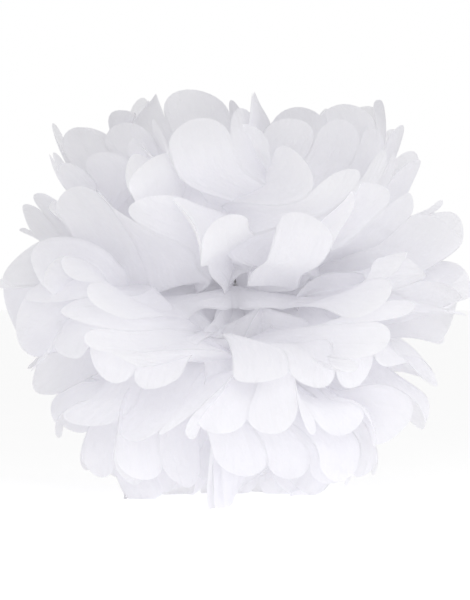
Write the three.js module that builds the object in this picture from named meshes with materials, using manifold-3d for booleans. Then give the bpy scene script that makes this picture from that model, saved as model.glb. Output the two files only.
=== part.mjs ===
// A tissue paper pom pom.
//
// Ten sheets of tissue lie in one stack, are pleated together like a fan, tied round the middle
// with wire and cut round at both ends. Each end then spreads into a fan of petals, and the sheets
// are pulled apart, five upwards and five downwards, until the petals fill a ball. It stands on
// the lowest petals, whose ends bend flat where they meet the table.
//
// Millimetres. X runs along the pleated strip, Y across it, from the slit between the two fans at
// the front to the one at the back, and Z is up. The origin is on the table, under the middle.

import * as THREE from "three";
import { mergeVertices } from "three/addons/utils/BufferGeometryUtils.js";
import Module from "manifold-3d";

// The paper.
const PLEATS = 13; // across one sheet
const PLEAT_WIDTH = 38;
const HALF_LENGTH = 175; // from the tie to a petal's tip
const SCALLOP_DEPTH = 18; // how far a fold line stops short of the tip
const PAPER_THICKNESS = 0.6; // stands in for tissue, which is about 0.04

// How the sheets are fluffed out.
const SHEET_ELEVATIONS = [4, 17, 32, 49, 69]; // degrees above, and the same below, the middle
const STEEPEST = 90; // degrees, which no petal quite reaches
const STEEPEST_POWER = 6; // how late the petals start to crowd towards it
const PLEAT_SWING = 16; // degrees that a fold stands off its sheet near the tie, at most
const FREE_EDGE_SWING = 0.5; // share of that at a sheet's two cut edges
const BALL_RISE = 155; // of the ball above the tie
const BALL_DROP = 175; // and below it, before the lowest petals bend on the table
const SLIT = 8; // degrees from a fan's end to the plane between the two fans
const SLIT_OPENING = 14; // degrees more for the petals near the middle
const SLIT_OPENING_REACH = 14; // degrees of elevation over which that fades

// The gathered neck, where the tie goes round.
const NECK_LENGTH = 5;
const NECK_WIDTH = 10;
const NECK_PITCH = 1.3; // from one sheet to the next
const TIE_HEIGHT = 157; // above the table

// The tie.
const WIRE_RADIUS = 0.5;
const WIRE_CLEARANCE = 0.6;
const TWIST_LENGTH = 22;
const TWIST_RADIUS = 1.0;
const EYE_RADIUS = 5;
const WIRE_SIDES = 8;
const WIRE_STEPS = 32;

// Where each sheet is divided.
const ROWS = [0, 14, 45, 100, HALF_LENGTH - SCALLOP_DEPTH];
const TIP_ANGLES = [45, 90, 135]; // degrees round a scallop

const TISSUE = new THREE.MeshStandardMaterial({ color: 0xf4f3f8, roughness: 0.8, metalness: 0 });
const WIRE = new THREE.MeshStandardMaterial({ color: 0xd9d9d6, roughness: 0.4, metalness: 0.8 });

const radians = THREE.MathUtils.degToRad;
const lerp = THREE.MathUtils.lerp;

// Crowds steep elevations together under the steepest one, so that the two fans never cross.
function crowded(elevation) {
  const share = Math.abs(elevation) / STEEPEST;
  return elevation / Math.pow(1 + Math.pow(share, STEEPEST_POWER), 1 / STEEPEST_POWER);
}

// Degrees from the front or back plane to a fan's end, at a distance from the tie.
function slitOf(sheetElevation, distance) {
  const nearness = Math.exp(-((sheetElevation / SLIT_OPENING_REACH) ** 2));
  return SLIT + SLIT_OPENING * nearness * (distance / HALF_LENGTH) ** 2;
}

// Degrees that the folds stand off their sheet, so that a pleat keeps its width as the fan spreads.
function swingOf(sheetElevation, distance) {
  if (distance === 0) return 0;
  const fan = radians(180 - 2 * slitOf(sheetElevation, distance));
  const arc = (distance * Math.cos(radians(crowded(sheetElevation))) * fan) / PLEATS;
  const standing = Math.sqrt(Math.max(0, PLEAT_WIDTH ** 2 - arc ** 2));
  return Math.min(PLEAT_SWING, THREE.MathUtils.radToDeg(standing / (2 * distance)));
}

// Plus one on a mountain fold, minus one on a valley fold, and in between on a pleat.
function foldSide(across) {
  const line = Math.floor(across);
  const sideOf = (i) => {
    const share = i === 0 || i === PLEATS ? FREE_EDGE_SWING : 1;
    return i % 2 === 0 ? share : -share;
  };
  return lerp(sideOf(line), sideOf(Math.min(line + 1, PLEATS)), across - line);
}

// A point of one sheet: side is 1 on the right fan and -1 on the left, across counts pleats from
// the front, and offset is how far it lies above the middle of the paper.
function pointOf(sheet, side, across, distance, offset) {
  const share = across / PLEATS;
  const slit = slitOf(sheet.elevation, distance);
  const azimuth = radians(lerp(-90 + slit, 90 - slit, share));
  const swing = foldSide(across) * swingOf(sheet.elevation, distance);
  const elevation = distance === 0 ? 0 : radians(crowded(sheet.elevation + swing));
  const flattening = HALF_LENGTH / (elevation < 0 ? BALL_DROP : BALL_RISE);
  const reach = distance / Math.hypot(Math.cos(elevation), Math.sin(elevation) * flattening);
  const out = reach * Math.cos(elevation) - offset * Math.sin(elevation);
  const up = sheet.level + reach * Math.sin(elevation) + offset * Math.cos(elevation);
  return onTable(
    side * NECK_LENGTH / 2,
    lerp(-NECK_WIDTH / 2, NECK_WIDTH / 2, share),
    new THREE.Vector3(side * out * Math.cos(azimuth), out * Math.sin(azimuth), up),
    offset,
  );
}

// Sets a point out from the neck, and bends it outwards where it would go below the table.
function onTable(neckX, neckY, spoke, offset) {
  const table = -TIE_HEIGHT + PAPER_THICKNESS / 2 + offset;
  const below = Math.max(0, table - spoke.z);
  const spread = 1 + below / Math.max(1, Math.hypot(spoke.x, spoke.y));
  return new THREE.Vector3(
    neckX + spoke.x * spread,
    neckY + spoke.y * spread,
    spoke.z + below,
  );
}

// One sheet as a closed solid: the same net of points above and below the paper, with a rim.
function sheetGeometry(sheet) {
  const stations = [
    ...[...ROWS].reverse().map((distance) => ({ side: -1, distance })),
    ...ROWS.map((distance) => ({ side: 1, distance })),
  ];
  const across = PLEATS + 1;
  const net = stations.flatMap(({ side, distance }) =>
    Array.from({ length: across }, (_, i) => ({ side, across: i, distance })),
  );
  const faces = [];
  for (let row = 0; row + 1 < stations.length; row++) {
    for (let i = 0; i < PLEATS; i++) {
      const a = row * across + i;
      const b = a + across;
      faces.push([a, b, b + 1], [a, b + 1, a + 1]);
    }
  }

  // The scallops: from one fold line's end round to the next.
  const outline = { "-1": [], 1: [] };
  for (const side of [-1, 1]) {
    const row = side < 0 ? 0 : stations.length - 1;
    for (let i = 0; i < PLEATS; i++) {
      const start = row * across + i;
      const tips = TIP_ANGLES.map((angle) => {
        net.push({
          side,
          across: i + (1 - Math.cos(radians(angle))) / 2,
          distance: HALF_LENGTH - SCALLOP_DEPTH * (1 - Math.sin(radians(angle))),
        });
        return net.length - 1;
      });
      const [left, middle, right] = tips;
      const scallop = [
        [start, right, start + 1],
        [start, left, right],
        [left, middle, right],
      ];
      faces.push(...scallop.map((face) => (side > 0 ? face : face.reverse())));
      outline[side].push(start, ...tips);
    }
    outline[side].push(row * across + PLEATS);
  }

  // The edge of the whole sheet, once round.
  const cutEdge = (i) => stations.map((_, row) => row * across + i).slice(1, -1);
  const edge = [
    ...outline[1],
    ...cutEdge(PLEATS).reverse(),
    ...outline[-1].reverse(),
    ...cutEdge(0),
  ];

  const half = PAPER_THICKNESS / 2;
  const corners = [half, -half].flatMap((offset) =>
    net.map((p) => pointOf(sheet, p.side, p.across, p.distance, offset)),
  );
  const under = net.length;
  const index = [];
  for (const [a, b, c] of faces) {
    index.push(a, b, c, under + a, under + c, under + b);
  }
  edge.forEach((a, n) => {
    const b = edge[(n + 1) % edge.length];
    index.push(a, under + a, under + b, a, under + b, b);
  });
  return new THREE.BufferGeometry().setFromPoints(corners).setIndex(index);
}

// The wire: a ring round the neck, a twist of its two ends and an eye to hang the ball by.
async function tieGeometry() {
  const wasm = await Module();
  wasm.setup();
  const solidOf = (geometry) => {
    geometry.deleteAttribute("normal");
    geometry.deleteAttribute("uv");
    const merged = mergeVertices(geometry, 1e-3);
    return new wasm.Manifold(
      new wasm.Mesh({
        numProp: 3,
        vertProperties: merged.attributes.position.array,
        triVerts: new Uint32Array(merged.index.array),
      }),
    );
  };

  const neckHeight = NECK_PITCH * (2 * SHEET_ELEVATIONS.length - 1) + PAPER_THICKNESS;
  const halfWidth = NECK_WIDTH / 2 + WIRE_CLEARANCE + WIRE_RADIUS;
  const halfHeight = neckHeight / 2 + WIRE_CLEARANCE + WIRE_RADIUS;
  const roundness = 4.5; // of the ring's rounded square
  const ringPoints = Array.from({ length: WIRE_STEPS }, (_, n) => {
    const turn = (2 * Math.PI * n) / WIRE_STEPS;
    const c = Math.cos(turn);
    const s = Math.sin(turn);
    const size = Math.pow(Math.abs(c) ** roundness + Math.abs(s) ** roundness, -1 / roundness);
    const swell = 1.07; // keeps the rounded corners off the neck
    return new THREE.Vector3(0, swell * halfWidth * size * c, swell * halfHeight * size * s);
  });
  const section = new THREE.Shape(
    Array.from({ length: WIRE_SIDES }, (_, n) => {
      const turn = (2 * Math.PI * n) / WIRE_SIDES;
      return new THREE.Vector2(WIRE_RADIUS * Math.cos(turn), WIRE_RADIUS * Math.sin(turn));
    }),
  );
  const ring = new THREE.ExtrudeGeometry(section, {
    steps: WIRE_STEPS,
    extrudePath: new THREE.CatmullRomCurve3(ringPoints, true),
    bevelEnabled: false,
  });

  const twistFoot = halfHeight;
  const twist = new THREE.CylinderGeometry(TWIST_RADIUS, TWIST_RADIUS, TWIST_LENGTH, WIRE_SIDES);
  twist.rotateX(Math.PI / 2);
  twist.translate(0, 0, twistFoot + TWIST_LENGTH / 2);
  const eye = new THREE.TorusGeometry(EYE_RADIUS, WIRE_RADIUS, WIRE_SIDES, WIRE_STEPS / 2);
  eye.rotateY(Math.PI / 2);
  eye.translate(0, 0, twistFoot + TWIST_LENGTH + EYE_RADIUS - WIRE_RADIUS);

  const closedRing = solidOf(ring);
  const tie = closedRing.add(solidOf(twist)).add(solidOf(eye));
  const mesh = tie.getMesh();
  return new THREE.BufferGeometry()
    .setAttribute("position", new THREE.BufferAttribute(new Float32Array(mesh.vertProperties), 3))
    .setIndex(new THREE.BufferAttribute(new Uint32Array(mesh.triVerts), 1));
}

const pomPom = new THREE.Group();
const elevations = [...SHEET_ELEVATIONS.map((e) => -e).reverse(), ...SHEET_ELEVATIONS];
elevations.forEach((elevation, n) => {
  const level = NECK_PITCH * (n - (elevations.length - 1) / 2);
  const mesh = new THREE.Mesh(sheetGeometry({ elevation, level }), TISSUE);
  mesh.name = `tissue_sheet_${String(n + 1).padStart(2, "0")}`;
  mesh.position.z = TIE_HEIGHT;
  pomPom.add(mesh);
});
const tie = new THREE.Mesh(await tieGeometry(), WIRE);
tie.name = "wire_tie";
tie.position.z = TIE_HEIGHT;
pomPom.add(tie);

export default pomPom;
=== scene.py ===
"""A tissue paper pom pom: ten pleated sheets tied with wire and fluffed out into a ball.

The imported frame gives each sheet's place. The sheets' fine meshes, the wire, the finishes and the
studio are made here. Lengths are metres and angles are radians unless a name says otherwise.
"""

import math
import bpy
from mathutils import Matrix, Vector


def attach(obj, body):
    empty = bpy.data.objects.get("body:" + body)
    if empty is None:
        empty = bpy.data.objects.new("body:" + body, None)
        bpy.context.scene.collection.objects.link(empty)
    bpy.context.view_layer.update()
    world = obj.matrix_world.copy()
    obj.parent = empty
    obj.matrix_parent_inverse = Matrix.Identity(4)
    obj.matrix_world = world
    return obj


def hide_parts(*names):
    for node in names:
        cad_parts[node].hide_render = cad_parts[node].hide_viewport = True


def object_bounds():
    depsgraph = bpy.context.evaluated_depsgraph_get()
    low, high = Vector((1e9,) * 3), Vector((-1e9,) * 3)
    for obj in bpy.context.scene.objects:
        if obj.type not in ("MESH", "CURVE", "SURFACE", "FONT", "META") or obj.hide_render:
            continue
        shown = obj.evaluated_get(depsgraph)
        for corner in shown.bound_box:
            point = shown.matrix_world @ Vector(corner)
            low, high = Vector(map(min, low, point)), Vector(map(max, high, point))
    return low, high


bl_info = {
    "name": "Tissue Paper Pom Pom",
    "version": (1, 0, 0),
    "blender": (4, 5, 0),
    "location": "3D View > Sidebar > Pom Pom",
    "description": "Builds a fluffed ball of tissue petals on its packed frame, in a pale studio",
    "category": "Add Mesh",
}

import bpy
import numpy as np
from bpy.props import FloatProperty, FloatVectorProperty, IntProperty, PointerProperty
from mathutils import Vector

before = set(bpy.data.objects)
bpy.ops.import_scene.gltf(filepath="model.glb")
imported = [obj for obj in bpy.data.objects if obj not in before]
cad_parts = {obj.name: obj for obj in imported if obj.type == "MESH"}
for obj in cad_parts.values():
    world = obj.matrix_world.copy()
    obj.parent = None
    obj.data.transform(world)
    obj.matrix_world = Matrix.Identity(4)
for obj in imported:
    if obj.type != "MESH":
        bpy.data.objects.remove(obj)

CAD_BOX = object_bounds()
SHEET_NODES = sorted(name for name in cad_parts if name.startswith("tissue_sheet"))
WIRE_NODE = "wire_tie"


# Settings --------------------------------------------------------------------------------------


class PomPomSizes(bpy.types.PropertyGroup):
    """The paper, its folds and how far it is fluffed out."""

    pleats: IntProperty(name="Pleats", description="Panels across one sheet", default=13, min=3)
    pleat_width: FloatProperty(
        name="Pleat width", description="From one fold to the next", default=0.038, unit="LENGTH"
    )
    half_length: FloatProperty(
        name="Petal length", description="From the tie to a petal's tip", default=0.175, unit="LENGTH"
    )
    scallop_depth: FloatProperty(
        name="Scallop depth",
        description="How far a fold stops short of the petal's tip",
        default=0.018,
        unit="LENGTH",
    )
    tie_height: FloatProperty(
        name="Tie height", description="Height of the tie over the table", default=0.157, unit="LENGTH"
    )
    slit: FloatProperty(
        name="Slit",
        description="From a fan's end to the plane between the two fans",
        default=math.radians(5),
        subtype="ANGLE",
    )
    twist: FloatProperty(
        name="Twist",
        description="How far round the steeper sheets' fans are turned, above one way and below the other",
        default=math.radians(13),
        subtype="ANGLE",
    )
    middle_slit: FloatProperty(
        name="Middle slit",
        description="From a fan's end to that plane where the level sheets leave the front open",
        default=math.radians(30),
        subtype="ANGLE",
    )


class PomPomLooks(bpy.types.PropertyGroup):
    """Colours of the paper and the wire."""

    tissue: FloatVectorProperty(
        name="Tissue", description="Colour of the paper", subtype="COLOR", default=(0.94, 0.937, 0.956)
    )
    see_through: FloatProperty(
        name="See-through",
        description="Share of the light that passes through one sheet",
        subtype="FACTOR",
        default=0.62,
        min=0,
        max=1,
    )
    # Painted glow: the paper gives off light as an emission, standing in for the light that scatters
    # between the sheets.
    painted_glow: FloatProperty(
        name="Glow",
        description="Light that scatters between the sheets, given off by the paper",
        default=0.13,
        min=0,
    )
    wire: FloatVectorProperty(
        name="Wire", description="Colour of the wire", subtype="COLOR", default=(0.62, 0.62, 0.61)
    )


class PomPomStudio(bpy.types.PropertyGroup):
    """The floor, lights and camera."""

    daylight: FloatProperty(
        name="Daylight", description="Brightness all round", default=0.57, min=0
    )
    right_lamp: FloatProperty(
        name="Right lamp", description="Power of the lamp on the right", default=1.5, unit="POWER"
    )
    top_lamp: FloatProperty(
        name="Top lamp", description="Power of the lamp above", default=0.5, unit="POWER"
    )
    front_lamp: FloatProperty(
        name="Front lamp", description="Power of the lamp over the camera", default=3.6, unit="POWER"
    )
    camera_distance: FloatProperty(
        name="Camera distance", description="From the camera to the tie", default=2.2, unit="LENGTH"
    )
    view_width: FloatProperty(
        name="View width", description="What the view spans at the tie", default=0.356, unit="LENGTH"
    )
    floor_half: FloatProperty(
        name="Floor half", description="Half the floor's width", default=40, unit="LENGTH"
    )
    floor_glow: FloatProperty(
        name="Floor glow", description="Light that the floor gives off", default=0.41, min=0
    )


# Paper -----------------------------------------------------------------------------------------

SEED = 2

# The net of a fan.
COLUMNS = 14  # across a panel
ROWS = 64  # from the tie to a tip
ROW_GAIN = 1.15  # over 1, the rows lie closer together at the tie
STATIONS = 96  # along a fold, where its place is worked out

# The neck, where the wire crushes the stack.
NECK_LENGTH = 0.005
NECK_WIDTH = 0.010
NECK_PITCH = 0.0013  # from one sheet to the next
NECK_REACH = 0.014  # how far out the crushed stack still spreads along X
GATHER = 0.030  # how far from the tie the crushed pleats take to reach their full width

# The line that each sheet follows. The slopes are degrees above the level at which the sheets leave
# the tie and end, from the lowest sheet up.
BASE_SLOPES = (-35, -26, -14, -5, -1, 1, 6, 14, 23, 25)
TIP_SLOPES = (-115, -87, -65, -42, -10, 4, 42, 66, 82, 108)
TURN_GAIN = 1.4  # over 1, a sheet turns more towards its tip
LEVEL_REACH = 9  # degrees from the level within which a sheet leaves the front open
SLIT_SPAN = (0.05, 0.14)  # distances from the tie between which a slit opens
TWIST_SPAN = (0.0, 0.4)  # shares of a petal's length between which a fan is turned
STRAY = 0.9  # of the slit, by which a fan may lie too far round

# How the pleats open.
NEST = 0.022  # how far a fold may stand off its sheet
SHUT_SHARE = 0.22  # of the folds stay shut, as narrow spikes
SHUT_ANGLE = 12  # degrees between the panels of a shut fold
OPEN_ANGLE = 110  # degrees between the panels of a fold that opens least
OPEN_RANGE = 50
WILL = 0.2  # how strongly a fold keeps to its own opening
WILL_SPAN = (0.045, 0.13)  # distances from the tie between which that will grows
ROUNDS = 24  # of settling at each station
STEADY = 5  # stations on each side over which the folds' lines are smoothed

# How the folds and the panels stray from a regular fan.
TILT = 0.011  # how far the folds of the flatter sheets stand up and down in turn at the tip
LIFT = 0.005  # how far a fold strays from its sheet at the tip
CURL = 0.006  # how far a fold turns off at its very tip
HOLLOW = 0.003  # how far from the tie's axis the steep folds stay
BOW = 0.8  # half the turn, in radians, of a panel that is slack
BOW_SPAN = (0.03, 0.12)  # distances from the tie between which panels bow
CUP = 0.0015  # the least rise of a panel's middle
CUP_SPAN = (0.05, 0.15)
SOFTNESS = 0.55  # how far the creases are rounded at the tips
SOFT_REACH = 0.07  # of a panel, over which a crease is rounded
SOFT_SPAN = (0.02, 0.15)  # distances from the tie between which paper goes soft and warps
WARP = 0.006

# How far the first folds at the front stand off their sheet at the tip, by the sheet's place from
# the bottom, which starts at 0. All three sheets hang down here.
FRONT = {3: (-0.004, 0.0), 4: (-0.030, -0.024, -0.012), 5: (-0.014, 0.0, 0.004)}
FRONT_CALM = 0.2  # how much of their own straying those folds keep
LIP = 5  # the sheet whose free edge runs clear in front of the tie
LIP_LENGTH = 0.065  # how far to each side the edge stands forward
LIP_REACH = 0.056  # how far forward the edge stands
LIP_RISE = 0.018  # how far the paper behind it rises
LIP_DROP = 0.030  # how far the edge turns down
PARTING = 0.013  # how far the next sheet below it parts from it
PARTING_ABOVE = 0.45  # of that, for the next sheet above it
PARTING_FADE = 0.2  # how much less each further sheet parts
PARTING_WIDTH = 0.055  # how far to each side of the middle they part
PARTING_SPAN = (0.018, 0.055)  # distances from the tie between which the sheets part
CLOSING_SPAN = (0.09, 0.17)  # and close again


def smoothstep(low, high, value):
    """Eases from 0 at low to 1 at high."""
    share = np.clip((value - low) / (high - low), 0, 1)
    return share * share * (3 - 2 * share)


def waves(seed, wavelength, *coordinates, count=5):
    """A smooth random field between about -1 and 1, from a few sine waves in seeded directions."""
    rng = np.random.default_rng(seed)
    total = 0
    for _ in range(count):
        direction = rng.normal(size=len(coordinates))
        direction /= np.linalg.norm(direction)
        length = wavelength * rng.uniform(0.75, 1.35)
        phase = rng.uniform(0, 2 * math.pi)
        along = sum(d * c for d, c in zip(direction, coordinates))
        total = total + np.sin(2 * math.pi * along / length + phase)
    return total / math.sqrt(count)


def running_mean(values, reach):
    """Smooths along the last axis."""
    weights = np.hanning(2 * reach + 3)[1:-1]
    padded = np.pad(values, [(0, 0)] * (values.ndim - 1) + [(reach, reach)], mode="edge")
    windows = np.lib.stride_tricks.sliding_window_view(padded, 2 * reach + 1, axis=-1)
    return windows @ (weights / weights.sum())


def mountains(pleats):
    """1 at each fold that points up and -1 at each that points down."""
    return np.where(np.arange(pleats + 1) % 2 == 0, 1.0, -1.0)


class Fan:
    """One half of one sheet: the line that it follows out from the tie, and its slit."""

    def __init__(self, sizes, number, side):
        self.sizes = sizes
        self.number = number
        self.side = side
        self.rng = np.random.default_rng([number, side + 1, SEED])
        self.distance = np.linspace(0, sizes.half_length, STATIONS)
        self.level = NECK_PITCH * (number - (len(BASE_SLOPES) - 1) / 2)
        share = self.distance / sizes.half_length
        base, tip = math.radians(BASE_SLOPES[number]), math.radians(TIP_SLOPES[number])
        self.slope = base + (tip - base) * share**TURN_GAIN
        step = self.distance[1]
        out, up = np.cos(self.slope), np.sin(self.slope)
        self.out = np.concatenate([[0], np.cumsum((out[1:] + out[:-1]) / 2 * step)])
        self.up = np.concatenate([[0], np.cumsum((up[1:] + up[:-1]) / 2 * step)])
        elevation = math.atan2(self.up[-1], self.out[-1])
        nearness = math.exp(-((math.degrees(elevation) / LEVEL_REACH) ** 2))
        slit = sizes.slit * math.cos(elevation) ** 2
        back_slit = slit * smoothstep(*SLIT_SPAN, self.distance)
        self.slit = back_slit + (sizes.middle_slit - slit) * nearness
        stray = slit * self.rng.uniform(-STRAY, STRAY)
        self.twist = side * sizes.twist * math.sin(elevation * 2) + stray
        self.sweep = self.out * (math.pi - self.slit - back_slit)


def chains(fans):
    """Lets each fan's pleats open as it widens: where every fold lies across it and off it.

    At each distance from the tie a sheet is cut across, which gives a chain of panels. Its folds
    have their own will to stay shut, and they keep their panels' width as the chain is drawn out.
    """
    sizes = fans[0].sizes
    pleats = sizes.pleats
    open_share = np.stack([fan.rng.uniform(0, 1, size=pleats - 1) for fan in fans])
    shut = open_share < SHUT_SHARE
    opening = np.radians(np.where(shut, SHUT_ANGLE, OPEN_ANGLE + OPEN_RANGE * open_share))
    distances = fans[0].distance
    widths = sizes.pleat_width * np.tanh(np.maximum(distances, 1e-4) / GATHER)
    sweeps = np.stack([fan.sweep for fan in fans])
    across = sweeps[:, 1:2] * np.arange(pleats + 1) / pleats
    off = np.broadcast_to(mountains(pleats) * widths[1] / 2, across.shape).copy()
    spread = [np.zeros_like(across), across.copy()]
    depth = [np.zeros_like(off), off.copy()]
    for station in range(2, len(distances)):
        width = widths[station]
        across = across * sweeps[:, station : station + 1] / sweeps[:, station - 1 : station]
        off = off * width / widths[station - 1]
        will = WILL * smoothstep(*WILL_SPAN, distances[station])
        for _ in range(ROUNDS):
            gap_s = across[:, 2:] - across[:, :-2]
            gap_d = off[:, 2:] - off[:, :-2]
            gap = np.hypot(gap_s, gap_d) + 1e-9
            pull = will * (1 - 2 * width * np.sin(opening / 2) / gap) / 4
            across[:, 2:] -= pull * gap_s
            across[:, :-2] += pull * gap_s
            off[:, 2:] -= pull * gap_d
            off[:, :-2] += pull * gap_d
            off -= 0.2 * off.mean(axis=1, keepdims=True)
            off = np.clip(off, -NEST, NEST)
            for first in (0, 1, 0, 1):
                a, b = slice(first, pleats, 2), slice(first + 1, pleats + 1, 2)
                step_s = across[:, b] - across[:, a]
                step_d = off[:, b] - off[:, a]
                length = np.hypot(step_s, step_d) + 1e-9
                share = 0.5 * (1 - width / length)
                across[:, a] += share * step_s
                across[:, b] -= share * step_s
                off[:, a] += share * step_d
                off[:, b] -= share * step_d
            across[:, 0] = 0
            across[:, -1] = sweeps[:, station]
        spread.append(across.copy())
        depth.append(off.copy())
    return [running_mean(np.stack(steps, -1), STEADY) for steps in (spread, depth)]


class Folds:
    """The fold lines of one fan in space, and the panels between them."""

    def __init__(self, fan, spread, depth):
        self.fan = fan
        sizes = fan.sizes
        rng = fan.rng
        pleats = sizes.pleats
        radius = np.maximum(fan.out, 1e-5)
        tip = (fan.distance / sizes.half_length)[None, :]
        twist = fan.twist * smoothstep(*TWIST_SPAN, tip)
        azimuth = -math.pi / 2 + fan.slit + spread / radius + twist
        azimuth[:, 0] = azimuth[:, 1]
        flatness = math.cos(2 * math.atan2(fan.up[-1], fan.out[-1])) ** 2
        tilt = rng.uniform(0.1, 1, size=(pleats + 1, 1)) * TILT * flatness * tip**1.5
        tilt = tilt * mountains(pleats)[:, None]
        lift = rng.normal(0, LIFT, size=(pleats + 1, 1)) * tip**2
        curl = rng.normal(0, CURL, size=(pleats + 1, 1)) * tip**5
        depth = depth + tilt + lift + curl
        front = np.array(FRONT.get(fan.number, ()))
        if len(front):
            # The folds reach most of their drop well before the tip.
            depth[: len(front)] *= FRONT_CALM
            depth[: len(front)] += front[:, None] * tip * (1.5 - tip) * 2
        out = fan.out - np.sin(fan.slope) * depth
        out = (out + np.sqrt(out**2 + (HOLLOW * tip**0.5) ** 2)) / 2
        up = fan.up + np.cos(fan.slope) * depth
        self.points = np.stack([out * np.cos(azimuth), out * np.sin(azimuth), up], -1)
        self.bows = rng.choice([-1, 1], size=pleats) * rng.uniform(0.3, 1.0, size=pleats)

    def panel(self, number, across):
        """Points of one panel at every station: across runs 0 to 1 from fold to fold."""
        fan = self.fan
        width = fan.sizes.pleat_width
        low, high = self.points[number][:, None], self.points[number + 1][:, None]
        chord = high - low
        middle = (low + high) / 2
        outward = middle / np.maximum(np.linalg.norm(middle, axis=-1, keepdims=True), 1e-6)
        normal = np.cross(outward, chord)
        normal /= np.maximum(np.linalg.norm(normal, axis=-1, keepdims=True), 1e-6)
        length = np.linalg.norm(chord, axis=-1)
        slack = np.clip(1 - length / width, 0, 0.5)
        most = BOW * smoothstep(*BOW_SPAN, fan.distance)[:, None]
        half_turn = np.minimum(np.sqrt(6 * slack), most)
        sagitta = width * (1 - np.cos(half_turn)) / (2 * np.maximum(half_turn, 1e-3))
        sagitta = sagitta + CUP * smoothstep(*CUP_SPAN, fan.distance)[:, None]
        bow = sagitta * 4 * across * (1 - across) * self.bows[number]
        return low + chord * across[:, None] + normal * bow[..., None]

    def part(self, points, across):
        """Opens the front for the lip, and brings the lip forward over the tie."""
        distance = self.fan.distance
        steps = self.fan.number - LIP
        if steps:
            ahead = np.exp(-((points[..., 0] / PARTING_WIDTH) ** 2))
            ahead = ahead * smoothstep(0, 0.03, -points[..., 1])
            away = smoothstep(*PARTING_SPAN, distance) * (1 - smoothstep(*CLOSING_SPAN, distance))
            fade = max(0, 1 - PARTING_FADE * (abs(steps) - 1))
            rise = PARTING * fade * (PARTING_ABOVE if steps > 0 else -1)
            points[..., 2] += rise * ahead * away[:, None]
        else:
            near = np.exp(-((distance / LIP_LENGTH) ** 2))[:, None]
            turn = np.maximum(0, 1 - across) * math.pi / 2
            points[..., 1] -= LIP_REACH * np.sin(turn) * near
            points[..., 2] += (LIP_RISE * np.sin(turn) - LIP_DROP * (1 - np.cos(turn))) * near

    def net(self, across, distance):
        """All the points of the fan's net, with one row for each distance from the tie."""
        pleats = self.fan.sizes.pleats
        parts = []
        for number in range(pleats):
            last = number == pleats - 1
            columns = slice(number * COLUMNS, (number + 1) * COLUMNS + (1 if last else 0))
            parts.append(self.panel(number, across[columns] - number))
        points = np.concatenate(parts, axis=1)
        points = softened(points, across, self.fan.distance)
        points = warped(points)
        neck = NECK_LENGTH / 2 * np.exp(-((self.fan.distance / NECK_REACH) ** 2))[:, None]
        points[..., 0] = self.fan.side * (points[..., 0] + neck)
        points[..., 1] += (across / pleats - 0.5) * NECK_WIDTH
        self.part(points, across)
        points[..., 2] += self.fan.level
        return resampled(points, distance / self.fan.distance[1])


def softened(points, across, distance):
    """Rounds the creases, more and more towards the petals' tips."""
    weights = np.exp(-(((across[:, None] - across[None, :]) / SOFT_REACH) ** 2))
    weights *= np.gradient(across)[None, :]
    weights /= weights.sum(axis=1, keepdims=True)
    rounded = np.einsum("ij,rjk->rik", weights, points)
    share = SOFTNESS * smoothstep(*SOFT_SPAN, distance)[:, None, None]
    return points + (rounded - points) * share


def resampled(points, place):
    """Takes each column of points at its own fractional rows."""
    row = np.clip(np.floor(place).astype(int), 0, len(points) - 2)
    column = np.broadcast_to(np.arange(points.shape[1])[None, :], row.shape)
    share = (place - row)[..., None]
    return points[row, column] * (1 - share) + points[row + 1, column] * share


def warped(points):
    """Bends the ball gently. Neighbouring sheets bend alike, so this makes none of them cross."""
    x, y, z = (points[..., axis] for axis in range(3))
    far = smoothstep(*SOFT_SPAN, np.linalg.norm(points, axis=-1))
    x = x + WARP * far * waves(11, 0.11, y, z)
    z = z + WARP * far * waves(12, 0.12, x, y)
    y = y + WARP * far * waves(13, 0.11, x, z)
    return np.stack([x, y, z], -1)


def on_table(points, sizes):
    """Bends the lowest petals outwards where they would go below the table."""
    below = np.maximum(0, -sizes.tie_height - points[..., 2])
    flat = np.hypot(points[..., 0], points[..., 1])
    spread = 1 + below / np.maximum(flat, 1e-3)
    points[..., 0] *= spread
    points[..., 1] *= spread
    points[..., 2] += below
    return points


def sheet_net(sizes, folds):
    """The net of one sheet, from the left tips through the tie to the right tips."""
    pleats = sizes.pleats
    across = (1 - np.cos(math.pi * np.arange(COLUMNS) / COLUMNS)) / 2
    across = np.concatenate([across + n for n in range(pleats)] + [[pleats]])
    within = across - np.minimum(np.floor(across), pleats - 1)
    scallop = sizes.scallop_depth * np.sqrt(np.maximum(0, 1 - (2 * within - 1) ** 2))
    row = np.linspace(0, 1, ROWS + 1)[:, None] ** ROW_GAIN
    distance = row * (sizes.half_length - sizes.scallop_depth) + scallop[None, :] * row**6
    points = np.concatenate([folds[0].net(across, distance)[::-1], folds[1].net(across, distance)])
    sheet_width = np.broadcast_to(across * sizes.pleat_width, distance.shape)
    flat = np.stack(
        [np.concatenate([-distance[::-1], distance]), np.concatenate([sheet_width] * 2)], -1
    )
    points = on_table(points, sizes)
    points[..., 2] += sizes.tie_height
    return points, flat


def placed(name, data, location=(0, 0, 0)):
    """A new object of a mesh, a lamp or a camera."""
    thing = bpy.data.objects.new(name, data)
    thing.location = location
    bpy.context.collection.objects.link(thing)
    return thing


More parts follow.
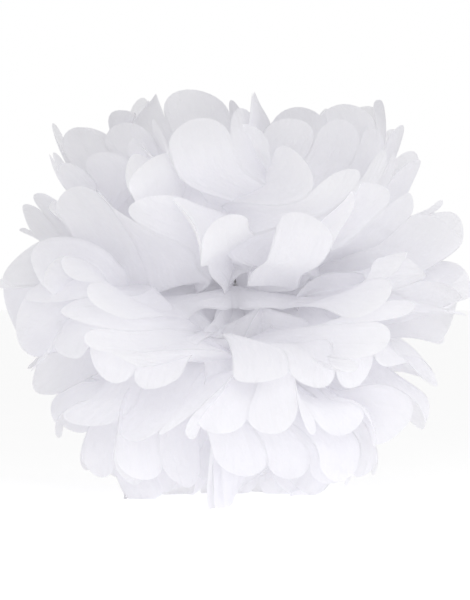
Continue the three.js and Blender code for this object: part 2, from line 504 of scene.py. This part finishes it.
def net_object(name, points, flat, sizes):
    """A mesh object of a net of points, smooth, with the flat paper as its UV map."""
    rows, columns = points.shape[:2]
    corner = np.arange(rows * columns).reshape(rows, columns)
    quads = np.stack([corner[:-1, :-1], corner[1:, :-1], corner[1:, 1:], corner[:-1, 1:]], -1)
    quads = quads.reshape(-1, 4)
    mesh = bpy.data.meshes.new(name)
    mesh.vertices.add(rows * columns)
    mesh.vertices.foreach_set("co", points.reshape(-1))
    mesh.loops.add(quads.size)
    mesh.loops.foreach_set("vertex_index", quads.reshape(-1))
    mesh.polygons.add(len(quads))
    mesh.polygons.foreach_set("loop_start", np.arange(0, quads.size, 4))
    mesh.update(calc_edges=True)
    mesh.polygons.foreach_set("use_smooth", np.ones(len(quads), dtype=bool))
    paper = np.array([2 * sizes.half_length, sizes.pleats * sizes.pleat_width])
    uv = (flat.reshape(-1, 2) + [sizes.half_length, 0]) / paper.max()
    layer = mesh.uv_layers.new(name="OFBake")
    layer.data.foreach_set("uv", uv[quads.reshape(-1)].reshape(-1))
    mesh.validate()
    return placed(name, mesh)


def fluffed(sizes):
    """The fold lines of every sheet, as pairs of a left and a right fan."""
    fans = [Fan(sizes, number, side) for number in range(len(SHEET_NODES)) for side in (-1, 1)]
    folds = [Folds(fan, *chain) for fan, *chain in zip(fans, *chains(fans))]
    return list(zip(folds[::2], folds[1::2]))


def tissue_sheet(sizes, number, folds, material):
    """One sheet in the place of its node, with the flat paper that it is made from."""
    node = SHEET_NODES[number]
    points, flat = sheet_net(sizes, folds)
    sheet = net_object(node.replace("tissue_sheet", "tissue"), points, flat, sizes)
    sheet.data.materials.append(material)
    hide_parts(node)
    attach(sheet, "root")


# Wire ------------------------------------------------------------------------------------------

WIRE_RADIUS = 0.0005
WIRE_CLEARANCE = 0.0006
WIRE_SIDES = 12
PAPER_THICKNESS = 0.0006  # of one crushed sheet at the neck
RING_POWER = 4.5  # of the rounded rectangle round the neck
RING_EASE = 1.07  # how much wider than the neck the wire runs there
STRAND_ANGLE = 8  # degrees from the top of the ring or the foot of the eye to each strand
TWIST_LENGTH = 0.022
TWIST_TURNS = 4.5
EYE_RADIUS = 0.005


def wire_path(sizes):
    """One closed wire: round the neck, up one strand, round the eye and down the other strand."""
    neck_height = NECK_PITCH * (len(SHEET_NODES) - 1) + PAPER_THICKNESS
    wide = NECK_WIDTH / 2 + WIRE_CLEARANCE + WIRE_RADIUS
    high = neck_height / 2 + WIRE_CLEARANCE + WIRE_RADIUS
    turn = np.radians(np.linspace(90 + STRAND_ANGLE, 450 - STRAND_ANGLE, 96))
    corner = np.abs(np.cos(turn)) ** RING_POWER + np.abs(np.sin(turn)) ** RING_POWER
    size = RING_EASE * corner ** (-1 / RING_POWER)
    ring = np.stack([0 * turn, wide * size * np.cos(turn), high * size * np.sin(turn)], -1)
    climb = np.linspace(0, 1, 120)
    phase = 2 * math.pi * TWIST_TURNS * climb
    strands = [
        np.stack(
            [
                WIRE_RADIUS * np.sin(phase + start),
                WIRE_RADIUS * np.cos(phase + start),
                high + WIRE_RADIUS + (TWIST_LENGTH - WIRE_RADIUS) * climb,
            ],
            -1,
        )
        for start in (0, math.pi)
    ]
    turn = np.radians(np.linspace(-90 - STRAND_ANGLE, -450 + STRAND_ANGLE, 64))
    centre = high + TWIST_LENGTH + EYE_RADIUS - WIRE_RADIUS
    eye = np.stack([0 * turn, EYE_RADIUS * np.cos(turn), centre + EYE_RADIUS * np.sin(turn)], -1)
    path = np.concatenate([ring, strands[0], eye, strands[1][::-1]])
    path[:, 2] += sizes.tie_height
    return path


def tube_object(name, path, radius, sides):
    """A round tube along a closed path that never runs along X."""
    run = np.roll(path, -1, axis=0) - np.roll(path, 1, axis=0)
    run /= np.linalg.norm(run, axis=1, keepdims=True)
    first = np.array([1.0, 0, 0]) - run[:, :1] * run
    first /= np.linalg.norm(first, axis=1, keepdims=True)
    second = np.cross(run, first)
    turn = 2 * math.pi * np.arange(sides)[None, :, None] / sides
    section = np.cos(turn) * first[:, None] + np.sin(turn) * second[:, None]
    points = path[:, None] + radius * section
    corner = np.arange(points[..., 0].size).reshape(points.shape[:2])
    onward, beside = np.roll(corner, -1, axis=0), np.roll(corner, -1, axis=1)
    quads = np.stack([corner, beside, np.roll(beside, -1, axis=0), onward], -1)
    mesh = bpy.data.meshes.new(name)
    mesh.from_pydata(points.reshape(-1, 3).tolist(), [], quads.reshape(-1, 4).tolist())
    mesh.polygons.foreach_set("use_smooth", np.ones(len(mesh.polygons), dtype=bool))
    return placed(name, mesh)


# Finishes --------------------------------------------------------------------------------------


class Value:
    """A number socket of a node tree, on which Python's own sums add the Math nodes."""

    def __init__(self, shader, socket):
        self.shader = shader
        self.socket = socket

    def _sum(self, operation, *values):
        node = self.shader.node("ShaderNodeMath", {"operation": operation}, *values)
        return Value(self.shader, node.outputs[0])

    def __add__(self, other):
        return self._sum("ADD", self, other)

    __radd__ = __add__

    def __mul__(self, other):
        return self._sum("MULTIPLY", self, other)

    __rmul__ = __mul__

    def __truediv__(self, other):
        return self._sum("DIVIDE", self, other)

    def __rtruediv__(self, other):
        return self._sum("DIVIDE", other, self)

    def __pow__(self, other):
        return self._sum("POWER", self, other)

    def __rpow__(self, other):
        return self._sum("POWER", other, self)


class Shader:
    """The nodes of a new material or world, and the one way that they are added."""

    def __init__(self, owner):
        self.owner = owner
        owner.use_nodes = True
        self.tree = owner.node_tree
        self.tree.nodes.clear()

    def node(self, kind, settings, *values, **named):
        """Adds a node: its settings first, then values or links by place or by socket name."""
        made = self.tree.nodes.new(kind)
        for key, setting in settings.items():
            setattr(made, key, setting)
        inputs = [*enumerate(values), *((key.replace("_", " "), v) for key, v in named.items())]
        for key, value in inputs:
            socket = made.inputs[key]
            value = value.socket if isinstance(value, Value) else value
            if isinstance(value, bpy.types.NodeSocket):
                self.tree.links.new(value, socket)
            elif value is not None:
                socket.default_value = value
        return made

    def value(self, kind, settings, output=0, **named):
        """A number that a node gives."""
        return Value(self, self.node(kind, settings, **named).outputs[output])

    def noise(self, place, scale, detail, roughness=0.5):
        """Soft noise between 0 and 1."""
        looks = {"Scale": scale, "Detail": detail, "Roughness": roughness}
        return self.value("ShaderNodeTexNoise", {}, Vector=place, **looks)

    def mix(self, factor, first, second):
        """A colour between two colours, which are the node's seventh and eighth sockets."""
        made = self.node("ShaderNodeMix", {"data_type": "RGBA"}, factor, *[None] * 5, first, second)
        return made.outputs[2]

    def finish(self, output, surface):
        """Ends the tree with its output node."""
        self.node(output, {}, surface.outputs[0])
        return self.owner


def tinted(colour, *shares):
    """A colour with each of its parts made darker or lighter, for a socket."""
    return (*(min(1, part * share) for part, share in zip(colour, shares)), 1)


def tissue_finish(looks, pleats):
    """White tissue: cloudy fibres, faint creases along the folds, light through the sheet, and a painted
    glow given off by the paper in place of the light scattered between the sheets.
    """
    shader = Shader(bpy.data.materials.new("tissue"))
    place = shader.node("ShaderNodeTexCoord", {}).outputs["Object"]
    flat = shader.node("ShaderNodeUVMap", {"uv_map": "OFBake"}).outputs[0]
    parts = shader.node("ShaderNodeSeparateXYZ", {}, flat).outputs
    along, across = Value(shader, parts[0]), Value(shader, parts[1])
    cloud = shader.noise(place, 55, 4, 0.6)
    fibre = shader.noise(place, 900, 2)
    crumple = shader.noise(place, 140, 3, 0.55)
    streaks = shader.node("ShaderNodeCombineXYZ", {}, along * 7, across * 80).outputs[0]
    wrinkle = shader.noise(streaks, 1, 3)
    fold = shader.value("ShaderNodeMath", {"operation": "PINGPONG"}, Value=across * pleats)
    shade = cloud * 0.55 + fibre * 0.2 + wrinkle * 0.25
    darker = tinted(looks.tissue, 0.94, 0.94, 0.945)
    lighter = tinted(looks.tissue, 1.05, 1.05, 1.045)
    colour = shader.mix(shade, darker, lighter)
    crease = 1 / (1 + (fold * 38) ** 2)
    height = crumple * 0.35 + fibre * 0.1 + wrinkle + crease * 0.5
    bump = shader.node("ShaderNodeBump", {}, Strength=0.7, Distance=0.0025, Height=height)
    normal = bump.outputs[0]
    paper = shader.node(
        "ShaderNodeBsdfPrincipled",
        {},
        Base_Color=colour,
        Roughness=0.75,
        Normal=normal,
        Specular_IOR_Level=0.25,
        # Painted glow: this emission stands in for the light that scatters between the sheets.
        Emission_Color=tinted(looks.tissue, 1, 1, 1),
        Emission_Strength=looks.painted_glow,
    )
    through = shader.node("ShaderNodeBsdfTranslucent", {}, Color=colour, Normal=normal)
    both = (paper.outputs[0], through.outputs[0])
    sheet = shader.node("ShaderNodeMixShader", {}, looks.see_through, *both)
    return shader.finish("ShaderNodeOutputMaterial", sheet)


def wire_finish(looks):
    """Plain bright wire, drawn a little unevenly."""
    shader = Shader(bpy.data.materials.new("wire"))
    place = shader.node("ShaderNodeTexCoord", {}).outputs["Object"]
    grain = shader.noise(place, 700, 3)
    colour = shader.mix(grain, tinted(looks.wire, 0.8, 0.8, 0.8), tinted(looks.wire, 1, 1, 1))
    metal = shader.node(
        "ShaderNodeBsdfPrincipled",
        {},
        Base_Color=colour,
        Roughness=grain * 0.2 + 0.28,
        Metallic=1.0,
    )
    return shader.finish("ShaderNodeOutputMaterial", metal)


def floor_finish(studio):
    """White card, which glows enough to look as bright as the daylight."""
    shader = Shader(bpy.data.materials.new("floor"))
    place = shader.node("ShaderNodeTexCoord", {}).outputs["Object"]
    cloud = shader.noise(place, 6, 2)
    card = shader.node(
        "ShaderNodeBsdfPrincipled",
        {},
        Base_Color=shader.mix(cloud, (0.93, 0.93, 0.93, 1), (0.96, 0.96, 0.96, 1)),
        Roughness=0.9,
        Emission_Color=(1, 1, 1, 1),
        Emission_Strength=studio.floor_glow,
    )
    return shader.finish("ShaderNodeOutputMaterial", card)


def daylight(studio):
    """Even light all round, in front of which the camera sees plain white."""
    shader = Shader(bpy.data.worlds.new("daylight"))
    seen = shader.value("ShaderNodeLightPath", {}, "Is Camera Ray")
    strength = seen * (1 - studio.daylight) + studio.daylight
    white = (1, 1, 1, 1)
    sky = shader.node("ShaderNodeBackground", {}, Color=white, Strength=strength)
    return shader.finish("ShaderNodeOutputWorld", sky)


# Studio ----------------------------------------------------------------------------------------

FLOOR_GAP = 0.0003  # under the lowest tips
CAMERA_DROP = 0.005  # from the tie's height

# Each lamp's place from the tie and its width.
LAMPS = {
    "right_lamp": ((0.9, -0.7, 0.1), 0.6),
    "top_lamp": ((-0.3, -0.4, 1.1), 0.9),
    "front_lamp": ((0.1, -1.5, 0.3), 0.5),
}


def floor_sheet(studio):
    """A wide pale floor, just under the ball."""
    half = studio.floor_half
    z = CAD_BOX[0][2] - FLOOR_GAP
    corners = [(-half, -half, z), (half, -half, z), (half, half, z), (-half, half, z)]
    mesh = bpy.data.meshes.new("floor")
    mesh.from_pydata(corners, [], [(0, 1, 2, 3)])
    mesh.materials.append(floor_finish(studio))
    placed("floor", mesh)


def area_lamp(name, target, offset, size, power):
    """A round soft lamp that faces the target."""
    lamp = bpy.data.lights.new(name, "AREA")
    lamp.shape = "DISK"
    lamp.size = size
    lamp.energy = power
    thing = placed(name, lamp, target + Vector(offset))
    thing.rotation_euler = (-Vector(offset)).to_track_quat("-Z", "Y").to_euler()


def level_camera(target, studio):
    """A camera straight ahead of the target, as wide in view as the studio says."""
    camera = bpy.data.cameras.new("camera")
    camera.sensor_fit = "HORIZONTAL"
    camera.lens = camera.sensor_width * studio.camera_distance / studio.view_width
    place = target + Vector((0, -studio.camera_distance, -CAMERA_DROP))
    view = placed("camera", camera, place)
    view.rotation_euler = (math.pi / 2, 0, 0)
    return view


# Operators -------------------------------------------------------------------------------------


class POMPOM_OT_sheets(bpy.types.Operator):
    """Fold, gather and fluff out the ten sheets of tissue."""

    bl_idname = "pompom.sheets"
    bl_label = "Tissue Sheets"

    def execute(self, context):
        sizes = context.scene.pompom_sizes
        material = tissue_finish(context.scene.pompom_looks, sizes.pleats)
        for number, folds in enumerate(fluffed(sizes)):
            tissue_sheet(sizes, number, folds, material)
        return {"FINISHED"}


class POMPOM_OT_wire(bpy.types.Operator):
    """Bend the wire round the neck and twist it up to its eye."""

    bl_idname = "pompom.wire"
    bl_label = "Wire Tie"

    def execute(self, context):
        path = wire_path(context.scene.pompom_sizes)
        tie = tube_object("wire", path, WIRE_RADIUS, WIRE_SIDES)
        tie.data.materials.append(wire_finish(context.scene.pompom_looks))
        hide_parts(WIRE_NODE)
        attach(tie, "root")
        return {"FINISHED"}


class POMPOM_OT_studio(bpy.types.Operator):
    """Lay the floor and set the lights and the camera."""

    bl_idname = "pompom.studio"
    bl_label = "Studio"

    def execute(self, context):
        scene = context.scene
        studio = scene.pompom_studio
        tie = Vector((0, 0, scene.pompom_sizes.tie_height))
        floor_sheet(studio)
        for name, (offset, size) in LAMPS.items():
            area_lamp(name, tie, offset, size, getattr(studio, name))
        scene.world = daylight(studio)
        scene.view_settings.view_transform = "Standard"
        scene.camera = level_camera(tie, studio)
        return {"FINISHED"}


class POMPOM_PT_panel(bpy.types.Panel):
    """The pom pom's steps and settings."""

    bl_label = "Pom Pom"
    bl_space_type = "VIEW_3D"
    bl_region_type = "UI"
    bl_category = "Pom Pom"

    def draw(self, context):
        for step in STEPS:
            self.layout.operator(step.bl_idname)
        for group in GROUPS:
            settings = getattr(context.scene, group)
            for key in settings.bl_rna.properties.keys():
                if key not in ("rna_type", "name"):
                    self.layout.prop(settings, key)


STEPS = (POMPOM_OT_sheets, POMPOM_OT_wire, POMPOM_OT_studio)
GROUPS = {
    "pompom_sizes": PomPomSizes,
    "pompom_looks": PomPomLooks,
    "pompom_studio": PomPomStudio,
}


def register():
    for kind in (*GROUPS.values(), *STEPS, POMPOM_PT_panel):
        bpy.utils.register_class(kind)
    for key, group in GROUPS.items():
        setattr(bpy.types.Scene, key, PointerProperty(type=group))


def unregister():
    for key in GROUPS:
        delattr(bpy.types.Scene, key)
    for kind in (POMPOM_PT_panel, *STEPS, *GROUPS.values()):
        bpy.utils.unregister_class(kind)


def main():
    register()
    bpy.ops.pompom.sheets()
    bpy.ops.pompom.wire()
    bpy.ops.pompom.studio()


if __name__ == "__main__":
    main()
